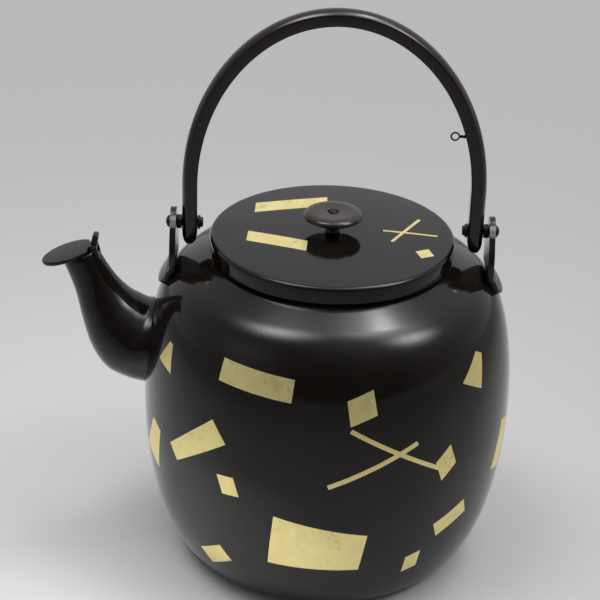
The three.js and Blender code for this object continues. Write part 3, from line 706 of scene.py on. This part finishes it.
# Knob of the lid. A cast button with a full round shoulder, a thin rim and a shallow dished top with a
# small well in its middle. It is lacquered like the handle and polished by the fingers.
knob_low, knob_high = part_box("knob")
knob_r, knob_top, knob_under = knob_high[0], knob_high[2], knob_low[2]
crest_r, crown, below, dish = 9.2 * mm, 2.4 * mm, 0.7 * mm, 0.35 * mm
crown_square, crown_fill = 0.75, 0.85
well_r, well, well_soft = 2.8 * mm, 0.8 * mm, 0.35 * mm
stem_r, stem_foot_r = 3.3 * mm, 3.7 * mm
neck_r, neck_z = stem_r + 0.8 * mm, knob_under + 0.35 * mm
rim_z = knob_top - crown
low_r = knob_r - below

polished_lacquer = coat(
    "polished_lacquer", ((0.0125, 0.0085, 0.0080), (0.026, 0.0155, 0.0130)), clouds=(160, 4),
    rubbing=(500, 4, 0.7), roughness=(0.12, 0.2), waves=(190, 2), depth=0.05 * mm,
)


def dish_height(radius):
    """Height of the knob's hollow top at a radius."""
    return knob_top - dish * (1 - (radius / crest_r) ** 2)


well_top = dish_height(well_r)
well_floor = well_top - well
knob_outline = [(rivet_r, knob_under), (stem_r, knob_under), (neck_r, neck_z)]
knob_outline += [
    (neck_r + (low_r - neck_r) * t, rim_z - below + (neck_z - rim_z + below) * (1 - t) ** 2)
    for t in (0.25, 0.5, 0.75)
]
knob_outline += [(low_r + (knob_r - low_r) * c, rim_z - below * s) for c, s in arc(1, 90, 0, 12)]
knob_outline += [
    (crest_r + (knob_r - crest_r) * c ** crown_square, rim_z + crown * s ** crown_fill)
    for c, s in arc(1, 0, 90, 16)[1:]
]
knob_outline += [(r * mm, dish_height(r * mm)) for r in (8.2, 7, 5.8, 4.6, 3.7, 3.1)]
knob_outline += [
    (well_r, well_top - 0.12 * mm), (well_r - 0.1 * mm, well_top - well * 0.9),
    (well_r - well_soft, well_floor), (rivet_r, well_floor),
]
knob = piece("knob_button", *turned(knob_outline, 128), polished_lacquer, 45)
ride(knob, "lid", "brown_lacquer", "knob")

# Stem, rivet and washer of the knob. A short plain stem carries the knob. One rivet, with its round head in
# the knob's well, goes down through both and the lid, and is spread over a washer under it.
stem_outline = rounded([
    (rivet_r, lid_middle, 0), (stem_foot_r, lid_middle, 0),
    (stem_foot_r, lid_middle + 0.5 * mm, 0.2 * mm), (stem_r, lid_middle + 1.2 * mm, 0.8 * mm),
    (stem_r, knob_under, 0), (rivet_r, knob_under, 0),
])
stem = piece("knob_post", *turned(stem_outline, 64), polished_lacquer)
ride(stem, "lid", "brown_lacquer", "knob_stem")

rivet_low, rivet_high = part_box("knob_rivet")
head_r, head_side = rivet_high[0], 0.35 * mm
head_rise = rivet_high[2] - well_floor - head_side
tail_z, tail_r = lid_middle - lid_sheet - 0.9 * mm, rivet_r + 0.8 * mm
rivet_outline = [
    (0, rivet_low[2]), (rivet_r + 0.6 * mm, rivet_low[2]), (tail_r, tail_z - 0.3 * mm), (tail_r, tail_z),
    (rivet_r, tail_z), (rivet_r, well_floor), (head_r, well_floor),
]
rivet_outline += [(head_r * c, well_floor + head_side + head_rise * s) for c, s in arc(1, 0, 90, 10)[:-1]]
rivet_outline.append((0, rivet_high[2]))
rivet = piece("knob_pin", *turned(rivet_outline, 48), dark_metal)
ride(rivet, "lid", "dark_metal", "knob_rivet")

washer_low, washer_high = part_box("knob_back_washer")
washer_outline = rounded([
    (rivet_r, washer_low[2], 0), (washer_high[0], washer_low[2], 0.3 * mm),
    (washer_high[0], washer_high[2], 0), (rivet_r, washer_high[2], 0),
])
back_washer = piece("knob_washer", *turned(washer_outline, 64), dark_metal)
ride(back_washer, "lid", "dark_metal", "knob_back_washer")

# Ears. Two leaves of plate that carry the handle, each with a round head, and a foot that is bent outward
# to follow the shoulder and soldered down. Their satin lacquer is rubbed through to bright metal in
# patches, on the upper edge of the heads.
ear_low, ear_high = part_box("right_ear")
ear_t, ear_soft = 2.8 * mm, 1.05 * mm
ear_x = ear_low[0] + ear_t / 2
ear_head_r = 7 * mm
pin_z = ear_high[2] - ear_head_r
leaf_half, leaf_z = 12.5 * mm, pin_z - 13.9 * mm
foot_half, foot_reach = 11 * mm, 5 * mm
foot_tip, foot_square = 0.985, 2.6
foot_bend, bend_end = 3 * mm, 62
settling = 1.5
worn_edge, worn_foot, worn_top = (5.9 * mm, 6.6 * mm), (-0.6 * mm, 2 * mm), (3.4 * mm, 5.4 * mm)

worn_lacquer, shader, place = material("worn_lacquer")
off_pin = reckon_vector("SUBTRACT", reckon_vector("MULTIPLY", place, (0, 1, 1)), (0, 0, pin_z))
over_pin = split(off_pin)["Z"]
rubbed = spread(reckon_vector("LENGTH", off_pin), 0, 1, *worn_edge)
for share in (
    spread(over_pin, 0, 1, *worn_foot), spread(over_pin, 1, 0, *worn_top),
    spread(noise(place, 600, 4, 0.7), 0.55, 1),
):
    rubbed = reckon("MULTIPLY", rubbed, share)
feed(shader, {
    "Base Color": blended(rubbed, (0.0075, 0.0062, 0.0062), (0.97, 0.95, 0.95)),
    "Metallic": rubbed,
    "Roughness": spread(noise(place, 420, 4, 0.7), 0.16, 0.28),
    "Normal": relief(noise(place, 900, 3), 0.05 * mm),
    "Specular IOR Level": 0.4,
})


def ear_width(z):
    """Half the width of the upright leaf at a height."""
    if z > pin_z:
        return math.sqrt(max(0, ear_head_r ** 2 - (z - pin_z) ** 2))
    if z > leaf_z:
        share = (z - leaf_z) / (pin_z - leaf_z)
        return ear_head_r + (leaf_half - ear_head_r) * math.cos(share * math.pi / 2)
    share = min(1, (leaf_z - z) / (leaf_z - shoulder_height(ear_x)))
    return leaf_half - (leaf_half - foot_half) * share ** 2


def ear_rows():
    """Rows of points across the right leaf's middle, from its head down the plate, round the bend and out
    along the foot. Each row is straight at the head, and bends more and more like the shoulder."""
    across_leaf = [math.sin(math.pi / 2 * (2 * t - 1)) for t in shares(16)]
    foot_z = shoulder_height(ear_x) + ear_t / 2
    bend_z = foot_z + foot_bend
    heights = [pin_z + z for z, _ in arc(ear_head_r, 0, 90, 12)]
    heights += [pin_z - (pin_z - bend_z) * t for t in shares(16, 1)]
    stations = [(ear_x, z, ear_width(z)) for z in heights]
    stations += [
        (ear_x + foot_bend * (1 - c), bend_z - foot_bend * s, ear_width(foot_z))
        for c, s in arc(1, 0, bend_end, 8)[1:]
    ]
    rows = []
    for x, z, half in stations:
        nearness = min(1, max(0, (leaf_z - z) / (leaf_z - shoulder_height(ear_x)))) ** settling
        rows.append([
            (x, y, z + (shoulder_height(math.hypot(x, y)) - shoulder_height(x)) * nearness)
            for y in (half * side for side in across_leaf)
        ])
    foot_x = stations[-1][0]
    small = 0.1 * mm
    for t in shares(8, 1):
        x = foot_x + (ear_x + foot_reach - foot_x) * t
        half = foot_half * math.sqrt(max(0, 1 - (foot_tip * t) ** foot_square))
        row = []
        for y in (half * side for side in across_leaf):
            r = math.hypot(x, y)
            slope = (shoulder_height(r + small) - shoulder_height(r - small)) / (2 * small)
            lift = ear_t / 2 / math.hypot(1, slope)
            row.append((x - slope * lift, y, shoulder_height(r) + lift))
        rows.append(row)
    return rows


leaf_rows = ear_rows()
for side, label in ((-1, "left"), (1, "right")):
    points = [(side * x, y, z) for row in leaf_rows for x, y, z in row]
    ear = piece(f"{label}_ear_leaf", points, quads(len(leaf_rows), len(leaf_rows[0])), worn_lacquer)
    wall = ear.modifiers.new("thick", "SOLIDIFY")
    wall.thickness, wall.offset, wall.use_even_offset = ear_t, 0, True
    softened(ear, ear_soft, 5)
    settle(ear, 40)
    ride(ear, "kettle", "brown_lacquer", f"{label}_ear")

# Pivot pins and washers. A pin goes through each ear and leg, with a domed head outside and a spread end
# inside. A thick washer keeps the leg off the ear, and a thin one lies under the spread end.
pivot_r, dome_r, dome_h, dome_side = 1.9 * mm, 3 * mm, 2.3 * mm, 0.2 * mm
peen_r, peen_h, peen_soft = 2.4 * mm, 1.3 * mm, 0.7 * mm
washer_soft = 0.25 * mm


def pivot_piece(name, outline, side):
    """A turned piece on the pivot line of the handle, from an outline of (radius, way out)."""
    return piece(name, *laid(turned(outline, 48), (0, 0, pin_z), (side, 0, 0)), dark_metal)


def reach_out(name):
    """How far out from the kettle's middle a part starts and ends, and its radius."""
    low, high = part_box(name)
    return *sorted((abs(low[0]), abs(high[0]))), (high[2] - low[2]) / 2


for side, label in ((-1, "left"), (1, "right")):
    inner_end, outer_end, _ = reach_out(f"{label}_pivot_pin")
    dome_x = outer_end - dome_h
    shaft_x = inner_end + peen_h
    outline = rounded([
        (0, inner_end, 0), (peen_r, inner_end, peen_soft), (peen_r, shaft_x, 0), (pivot_r, shaft_x, 0),
        (pivot_r, dome_x, 0), (dome_r, dome_x, 0),
    ])
    outline += [
        (dome_r * c, dome_x + dome_side + (dome_h - dome_side) * s) for c, s in arc(1, 0, 90, 10)[:-1]
    ]
    outline.append((0, outer_end))
    ride(pivot_piece(f"{label}_pin", outline, side), "kettle", "dark_metal", f"{label}_pivot_pin")
    for part in ("spacer", "inner"):
        washer = f"{label}_{part}_washer"
        start, end, radius = reach_out(washer)
        outline = rounded([
            (pivot_r, start, 0), (radius, start, washer_soft), (radius, end, washer_soft),
            (pivot_r, end, 0),
        ])
        made = pivot_piece(f"{label}_{part}_ring", outline, side)
        ride(made, "kettle", "dark_metal", washer)

# Handle. A bar of cast metal, bent to an arch on two straight legs, flat inside and on its sides and
# broadly rounded outside. The leg tips are slimmer and rounded. It is lacquered a satin brown-black.
handle_low, handle_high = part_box("handle")
bar_t, bar_w = 7.4 * mm, 9.6 * mm
bar_crown, bar_corner, bar_edge, bar_taper = 2 * mm, 1.2 * mm, 0.9 * mm, 0.05
largest_round = 0.2
tip_t, tip_w, tip_round = 4.4 * mm, 6.4 * mm, 4.6 * mm
tip_end, tip_least = 0.3, 0.0004
full_from, inner_share = 0.34, 0.62
leg_in = handle_high[0] - bar_t
arch_z = pin_z + 19.1 * mm
arch_rise = handle_high[2] - arch_z - bar_t
tip_z = handle_low[2]

satin_lacquer = coat(
    "satin_lacquer", ((0.0050, 0.0028, 0.0022), (0.0125, 0.0066, 0.0048)), clouds=(70, 5),
    rubbing=(420, 4, 0.7), roughness=(0.10, 0.19), waves=(110, 2), depth=0.06 * mm,
)


def handle_line():
    """The bar's inner face from the left tip over the arch to the right tip: (x, z, share of a leg)."""
    leg = [(leg_in, tip_z + (arch_z - tip_z) * t, t) for t in (t ** 1.6 for t in shares(40))]
    arch = [(-leg_in * c, arch_z + arch_rise * s, 1) for c, s in arc(1, 0, 180, 120)[1:-1]]
    return [(-x, z, t) for x, z, t in leg] + arch + leg[::-1]


def bar_section(thick, wide):
    """Outline of the bar, as (across, out): narrower inside, and crowned outside on a part of a circle."""
    half, inner = wide / 2, wide / 2 * (1 - bar_taper)
    crown = bar_crown * thick / bar_t
    crown_round = (half ** 2 + crown ** 2) / (2 * crown)
    corner, edge = min(bar_corner, largest_round * wide), min(bar_edge, largest_round * thick)
    top = [
        (y, thick - crown_round + math.sqrt(crown_round ** 2 - y ** 2), 0)
        for y in (half * (1 - 2 * t) for t in shares(14, 1)[:-1])
    ]
    return rounded([
        (inner, 0, edge), (half, thick - crown, corner), *top, (-half, thick - crown, corner),
        (-inner, 0, edge),
    ])


handle_stations = handle_line()
handle_rings = []
for i, (x, z, share) in enumerate(handle_stations):
    x0, z0, _ = handle_stations[max(i - 1, 0)]
    x1, z1, _ = handle_stations[min(i + 1, len(handle_stations) - 1)]
    outward = Vector((z0 - z1, 0, x1 - x0)).normalized()
    full = math.sqrt(1 - (1 - min(1, share / full_from)) ** 2)
    end = math.sqrt(max(tip_least, 1 - max(0, 1 - share * (arch_z - tip_z) / tip_round) ** 2))
    end = tip_end + (1 - tip_end) * end
    thick = (tip_t + (bar_t - tip_t) * full) * end
    wide = (tip_w + (bar_w - tip_w) * full) * end
    middle = Vector((x, 0, z)) + outward * ((bar_t - thick) * inner_share)
    handle_rings.append([middle + outward * out - Vector((0, y, 0)) for y, out in bar_section(thick, wide)])
handle = piece("handle_bar", *lofted(handle_rings, True), satin_lacquer, 40)
ride(handle, "bail", "brown_lacquer", "handle")

# Cord eye. A ring of thin wire on the inner side of the right leg, its two ends twisted together into a
# tail that is pressed into the bar.
eye_low, eye_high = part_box("cord_eye")
eye_z = (eye_low[2] + eye_high[2]) / 2
wire_room_r, wire_r = 0.45 * mm, 0.405 * mm
eye_r, eye_parts = 1.85 * mm, 0.08 * mm
eye_x = eye_low[0] + eye_r + wire_room_r
tail_end = eye_high[0]
twist_r, twist_turns = 0.4 * mm, 1.6


def new_tree(name, output, **inputs):
    """An empty tree of geometry nodes with its output and its named inputs, and what gives those."""
    made = bpy.data.node_groups.new(name, "GeometryNodeTree")
    for label, kind in inputs.items():
        made.interface.new_socket(label, in_out="INPUT", socket_type=f"NodeSocket{kind}")
    made.interface.new_socket(output, in_out="OUTPUT", socket_type="NodeSocketGeometry")
    return made, node(made, "NodeGroupInput")


def end_tree(tree, geometry, finish, output):
    """Ends a tree of geometry nodes: what it made becomes real and gets its finish."""
    real = node(tree, "GeometryNodeRealizeInstances", {"Geometry": geometry})[0]
    coated = node(tree, "GeometryNodeSetMaterial", {"Geometry": real, "Material": finish})[0]
    node(tree, "NodeGroupOutput", {output: coated})


def wire_tree():
    """Geometry nodes that run round wire along a path and close its ends."""
    tree, given = new_tree("round_wire", "Wire", Path="Geometry", Radius="Float", Finish="Material")
    line = node(tree, "GeometryNodeMeshToCurve", {"Mesh": given["Path"]})[0]
    section = node(tree, "GeometryNodeCurvePrimitiveCircle", {"Resolution": 14, "Radius": given["Radius"]})[0]
    wire = node(tree, "GeometryNodeCurveToMesh", {
        "Curve": line, "Profile Curve": section, "Fill Caps": True,
    })[0]
    end_tree(tree, wire, given["Finish"], "Wire")
    return tree


def path(name, points):
    """A line of edges through points, as a mesh."""
    mesh = bpy.data.meshes.new(name)
    mesh.from_pydata(points, [(i, i + 1) for i in range(len(points) - 1)], [])
    return mesh


def grown(mesh, tree, sharp, **values):
    """A piece that a tree of geometry nodes makes from a mesh and the values of its named inputs."""
    made = bpy.data.objects.new(mesh.name, mesh)
    scene.collection.objects.link(made)
    step = made.modifiers.new("grown", "NODES")
    step.node_group = tree
    sockets = {s.name: s.identifier for s in tree.interface.items_tree if s.in_out == "INPUT"}
    for label, value in values.items():
        step[sockets[label]] = value
    settle(made, sharp)
    return made


strands = []
for strand in (0, 1):
    bends = [(t, math.pi * (2 * twist_turns * (1 - t) + strand + 0.5)) for t in shares(26)]
    strands.append([
        (tail_end - (tail_end - eye_x - eye_r) * t, twist_r * math.cos(a), eye_z + twist_r * math.sin(a))
        for t, a in bends
    ])
eye_ring = [
    (eye_x + eye_r * math.cos(a), eye_parts * math.cos(a / 2), eye_z + eye_r * math.sin(a))
    for a in (2 * math.pi * t for t in shares(40, 1)[:-1])
]
wire_path = path("wire_eye", strands[0] + eye_ring + strands[1][::-1])
cord_eye = grown(wire_path, wire_tree(), 35, Radius=wire_r, Finish=dark_metal)
ride(cord_eye, "bail", "dark_metal", "cord_eye")

# Gold leaf. Thin leaf beaten from gold, cut with a blade into strips, oblongs, squares and points, and
# laid on the last coat of lacquer while it was tacky. It follows the curve of the body all the way round.
leaf_proud = 0.05 * mm
leaf_sunk = 0.1 * mm
leaf_cell = 2 * mm

gold_leaf, shader, place = material("gold_leaf")
tone = node(place.id_data, "ShaderNodeAttribute", attribute_name="leaf_tone")["Fac"]
cloud = spread(noise(place, 60, 5, 0.6), 0, 1, 0.35, 0.75)
smudge = spread(noise(place, 130, 6, 0.75), 0, 1, 0.57, 0.76)
pale_gold = blended(cloud, (0.98, 0.85, 0.42), (0.90, 0.765, 0.345))
toned_gold = blended(tone, pale_gold, (0.86, 0.735, 0.33))
feed(shader, {
    "Base Color": blended(smudge, toned_gold, (0.58, 0.49, 0.19)),
    "Roughness": spread(noise(place, 240, 5, 0.7), 0.36, 0.56),
    "Normal": relief(noise(place, 520, 5, 0.7), 0.16 * mm),
    "Metallic": 1.0,
})


def leaf_tree():
    """Geometry nodes that lay flat cuts on a turned surface. A cut's x is its turn round the piece, and its
    y is the way along the surface's profile."""
    tree, given = new_tree(
        "laid_leaf", "Leaf",
        Cuts="Geometry", Profile="Object", Sunk="Float", Thickness="Float", Finish="Material",
    )
    flat = split(node(tree, "GeometryNodeInputPosition")[0])
    profile = node(tree, "GeometryNodeObjectInfo", {"Object": given["Profile"]})["Geometry"]
    line = node(tree, "GeometryNodeMeshToCurve", {"Mesh": profile})[0]
    station = node(tree, "GeometryNodeSampleCurve", {"Curves": line, "Length": flat["Y"]}, mode="LENGTH")
    slope = split(station["Tangent"])
    out = node(tree, "ShaderNodeCombineXYZ", {"X": reckon("MULTIPLY", slope["Z"], -1), "Z": slope["X"]})[0]
    lowered = reckon_vector("SUBTRACT", station["Position"], reckon_vector("MULTIPLY", out, given["Sunk"]))
    placed, outward = (
        node(tree, "ShaderNodeVectorRotate", {"Vector": way, "Angle": flat["X"]}, rotation_type="Z_AXIS")[0]
        for way in (lowered, out)
    )
    kept = node(tree, "GeometryNodeStoreNamedAttribute", {
        "Geometry": given["Cuts"], "Name": "outward", "Value": outward,
    }, data_type="FLOAT_VECTOR")[0]
    lower = node(tree, "GeometryNodeSetPosition", {"Geometry": kept, "Position": placed})[0]
    lifted = node(tree, "GeometryNodeInputNamedAttribute", {"Name": "outward"}, data_type="FLOAT_VECTOR")
    upper = node(tree, "GeometryNodeExtrudeMesh", {
        "Mesh": lower, "Individual": False, "Offset": lifted["Attribute"], "Offset Scale": given["Thickness"],
    }, mode="FACES")["Mesh"]
    both = node(tree, "GeometryNodeJoinGeometry", {
        "Geometry": node(tree, "GeometryNodeFlipFaces", {"Mesh": lower})[0],
    })[0]
    feed(both.node, {"Geometry": upper})
    closed = node(tree, "GeometryNodeMergeByDistance", {"Geometry": both, "Distance": 1e-6})[0]
    end_tree(tree, closed, given["Finish"], "Leaf")
    return tree


def cut(corners, spin, placed):
    """One cut of leaf as a grid of points and its faces. Corners are (x, y) in metres round its middle,
    and placed turns such a point into (turn, way) on the surface."""
    c, s = math.cos(math.radians(spin)), math.sin(math.radians(spin))
    a, b, d, e = [Vector((x * c - y * s, x * s + y * c)) for x, y in corners]
    along = max(2, round(max((b - a).length, (d - e).length) / leaf_cell))
    aside = max(2, round(max((e - a).length, (d - b).length) / leaf_cell))
    points = [
        (*placed(a.lerp(b, u).lerp(e.lerp(d, u), v)), 0) for u in shares(along) for v in shares(aside)
    ]
    faces = [(first, *others[::-1]) for first, *others in quads(along + 1, aside + 1)]
    return points, faces


def oblong(w, h, lean=0.0, end=None):
    """Corners of a straight cut, w wide and h high in millimetres, with its upper edge moved aside by lean
    and a height of its own for its right end."""
    end = h if end is None else end
    corners = (-w - lean, -h), (w - lean, -end), (w + lean, end), (lean - w, h)
    return [(x / 2 * mm, y / 2 * mm) for x, y in corners]


def radius_at(stations, way):
    """Radius of a profile at a way along it."""
    for (r0, z0), (r1, z1) in zip(stations, stations[1:]):
        step = math.hypot(r1 - r0, z1 - z0)
        if way <= step:
            return r0 + (r1 - r0) * way / step
        way -= step
    return stations[-1][0]


def lay_leaf(name, stations, cuts, body, flat=False):
    """Lays cuts on a surface. Each has corners, a turn in degrees where -90 faces the camera, a way along
    the surface's profile in millimetres, a spin in degrees and a tone from 0 to 1. On a flat surface, whose
    profile starts in its middle, x and y take the place of turn and way."""
    points, faces, tones = [], [], []
    for corners, turn, way, spin, tone in cuts:
        def placed(p):
            if flat:
                x, y = turn * mm + p.x, way * mm + p.y
                return math.atan2(y, x), math.hypot(x, y)
            return math.radians(turn) + p.x / radius_at(stations, way * mm), way * mm - p.y
        some_points, some_faces = cut(corners, spin, placed)
        faces += [tuple(len(points) + k for k in face) for face in some_faces]
        points += some_points
        tones += [tone] * len(some_points)
    mesh = bpy.data.meshes.new(name)
    mesh.from_pydata(points, [], faces)
    mesh.attributes.new("leaf_tone", "FLOAT", "POINT").data.foreach_set("value", tones)
    line = bpy.data.objects.new("leaf_line", path("leaf_line", [(r, 0, z) for r, z in stations]))
    scene.collection.objects.link(line)
    made = grown(
        mesh, laid_leaf, 40,
        Profile=line, Sunk=leaf_sunk, Thickness=leaf_sunk + leaf_proud, Finish=gold_leaf,
    )
    bpy.data.objects.remove(line)
    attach(made, body)


laid_leaf = leaf_tree()
body_stations = outside[::-1]
body_cuts = [
    (oblong(36, 11), -113, 42, -4, 0.1),
    (oblong(13, 12, lean=3), -80, 50, 22, 0.2),
    (oblong(38, 9, end=13), -133, 83, 38, 0.4),
    (oblong(46, 2.4), -76, 80, 24, 0.5),
    (oblong(52, 2.2), -69, 74, -31, 0.5),
    (oblong(9, 10, lean=-2), -120, 98, 6, 0.3),
    (oblong(44, 30, end=22), -92, 126, -7, 0.2),
    (oblong(11, 11, lean=4), -52, 86, 40, 0.6),
    (oblong(20, 9), -47, 121, 20, 0.4),
    (oblong(16, 15, end=5), -38, 46, 60, 0.7),
    (oblong(17, 10), -128, 146, 33, 0.5),
    (oblong(24, 16, end=9), -156, 100, 70, 0.6),
    (oblong(8, 10, lean=3), -60, 141, 15, 0.3),
    (oblong(25, 12), -20, 99, 70, 0.5),
    (oblong(13, 13, end=3), -150, 49, 80, 0.8),
    (oblong(33, 12), 62, 44, 8, 0.3),
    (oblong(12, 12, lean=2), 104, 60, 30, 0.2),
    (oblong(40, 26, end=20), 86, 120, 6, 0.4),
    (oblong(48, 2.3), 119, 90, -28, 0.5),
    (oblong(44, 2.2), 124, 94, 34, 0.5),
    (oblong(26, 10), 38, 92, -35, 0.3),
    (oblong(22, 9, end=13), 18, 55, 62, 0.5),
    (oblong(18, 9), 143, 130, 22, 0.4),
    (oblong(14, 14, end=4), 48, 138, 50, 0.6),
    (oblong(10, 11, lean=2), 10, 118, 18, 0.2),
    (oblong(22, 10), 148, 52, -60, 0.4),
]
lay_leaf("body_leaf", body_stations, body_cuts, "kettle")
lid_stations = [(r, lid_height(r)) for r in [0.001 * mm] + lid_radii] + [(lid_r - lid_edge, lid_top)]
lid_cuts = [
    (oblong(36, 11, lean=3), -20, 30, 14, 0.2),
    (oblong(30, 10, lean=-3), -26, -12, -20, 0.2),
    (oblong(30, 1.6), 35, 4, 62, 0.4),
    (oblong(26, 1.5), 37, 1, -6, 0.4),
    (oblong(7, 7, lean=1), 43, -20, 28, 0.3),
]
lay_leaf("lid_leaf", lid_stations, lid_cuts, "lid", flat=True)
